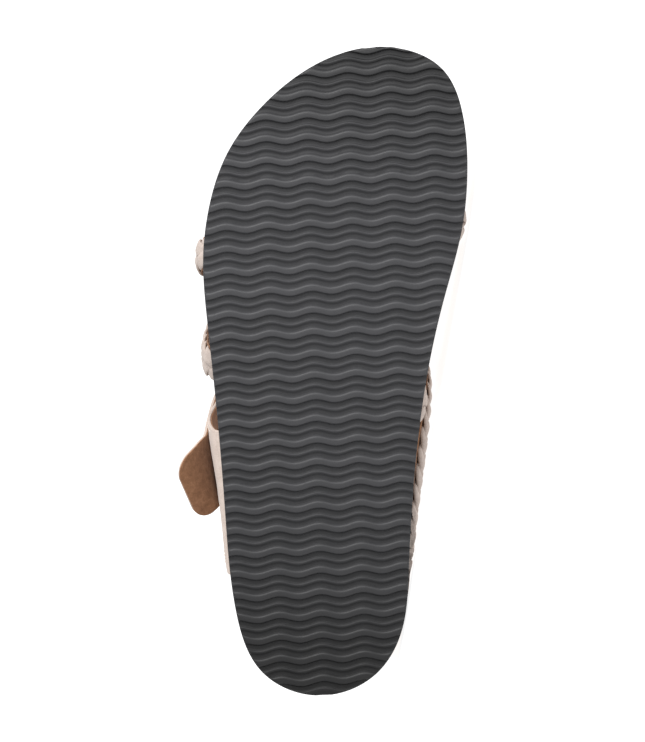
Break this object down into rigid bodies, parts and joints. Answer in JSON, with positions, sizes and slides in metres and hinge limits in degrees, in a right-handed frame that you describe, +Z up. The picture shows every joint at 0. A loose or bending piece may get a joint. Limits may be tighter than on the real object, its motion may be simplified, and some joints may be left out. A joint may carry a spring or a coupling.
{
  "type": "toe loop sandal",
  "caption": "Flat sandal with a wave-tread sole, dished footbed, crossed braided straps, a plain closing strap and a braided loop for the big toe, lying on its inner side.",
  "frame": {"origin": "centre of the bounding box on the floor", "axes": "+X from heel to toe, the toe raised about 9 degrees; +Y from the tread to the straps; +Z up, towards the outer side of the foot"},
  "size_m": [0.254, 0.0952, 0.1023],
  "materials": {
    "charcoal_rubber": "matt moulded rubber",
    "cork": "sealed granulated cork",
    "brown_suede": "napped suede",
    "blush_leather": "matt nubuck"
  },
  "bodies": {
    "root": {"outsole": "charcoal_rubber", "footbed": "cork", "insole": "brown_suede", "braided_straps": "blush_leather", "side_panel": "blush_leather", "closing_strap": "blush_leather", "toe_loop": "blush_leather"}
  },
  "joints": []
}
